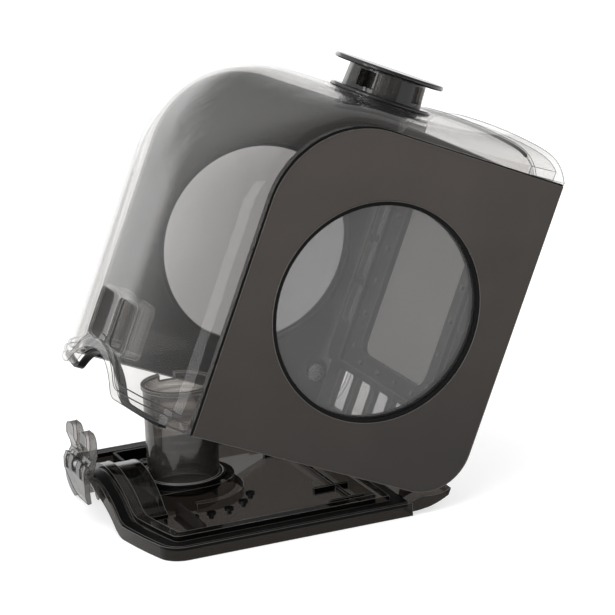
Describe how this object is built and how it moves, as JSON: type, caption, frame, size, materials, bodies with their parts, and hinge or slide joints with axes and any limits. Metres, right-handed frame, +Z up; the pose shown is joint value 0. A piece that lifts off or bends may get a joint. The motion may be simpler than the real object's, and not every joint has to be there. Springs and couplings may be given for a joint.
{
  "type": "hinged dust container",
  "caption": "Smoky clear bowed container with round side windows, hinged on a tray with an upright pipe, a two-pronged front latch and a spool-shaped turning cap on its crown.",
  "frame": {"origin": "on the underside of the tray, in the mid-plane, below the centre of the side windows when the container is closed", "axes": "+Z up from the tray; -X towards the latch, +X towards the hinge; Y across the width, +Y on the left side"},
  "size_m": [0.2849, 0.186, 0.2574],
  "materials": {
    "smoked_clear": "smoky clear moulding, high gloss",
    "light_clear": "lighter smoky clear moulding, high gloss",
    "lens_clear": "flat clear grey lens",
    "panel_plastic": "satin brown-grey",
    "rubber": "satin black",
    "tray_plastic": "dark smoky moulding, gloss",
    "pipe_plastic": "dark smoky tube, gloss",
    "latch_plastic": "smoky clear moulding, gloss",
    "black_plastic": "black, gloss",
    "neck_plastic": "dark smoky moulding, gloss",
    "frame_plastic": "satin dark grey",
    "screen": "fine translucent mesh",
    "pin_plastic": "light grey heads",
    "steel": "plain steel"
  },
  "bodies": {
    "tray": {"tray_pan": "tray_plastic", "tray_gasket": "rubber", "pan_screws": "steel", "standpipe": "pipe_plastic", "pipe_seal": "rubber", "tray_baffle": "tray_plastic", "corner_frame": "tray_plastic", "latch_bracket": "latch_plastic", "latch_pin": "steel", "latch_spring": "steel", "hinge_ear_left": "tray_plastic", "hinge_ear_right": "tray_plastic", "hinge_bush_left": "black_plastic", "hinge_bush_right": "black_plastic"},
    "container": {"hood_shell": "smoked_clear", "rear_cap": "light_clear", "rear_cap_seal": "rubber", "side_panel_left": "panel_plastic", "side_panel_right": "panel_plastic", "panel_seal_left": "rubber", "panel_seal_right": "rubber", "window_ring_left": "rubber", "window_ring_right": "rubber", "window_lens_left": "lens_clear", "window_lens_right": "lens_clear", "hinge_pin_left": "steel", "hinge_pin_right": "steel", "mouth_seal": "rubber", "rear_frame": "frame_plastic", "screen_pane": "screen", "screen_pins": "pin_plastic", "latch_keeper": "latch_plastic", "knob_collar": "rubber"},
    "knob": {"knob_base": "black_plastic", "knob_neck": "neck_plastic", "knob_disc": "black_plastic"},
    "latch": {"latch_lever": "latch_plastic"}
  },
  "joints": [
    {"name": "container_hinge", "type": "hinge", "parent": "tray", "child": "container", "pos_m": [0.063, 0, 0.0393], "axis": [0, 1, 0], "range_deg": [-23.4, 45]},
    {"name": "knob_turn", "type": "hinge", "parent": "container", "child": "knob", "pos_m": [0.08286, 0, 0.23199], "axis": [0.3976, 0, 0.9175], "range_deg": [0, 90]},
    {"name": "latch_pivot", "type": "hinge", "parent": "tray", "child": "latch", "pos_m": [-0.122, 0, 0.0344], "axis": [0, 1, 0], "range_deg": [-7, 12], "stiffness_Nm_per_rad": 0.05}
  ]
}
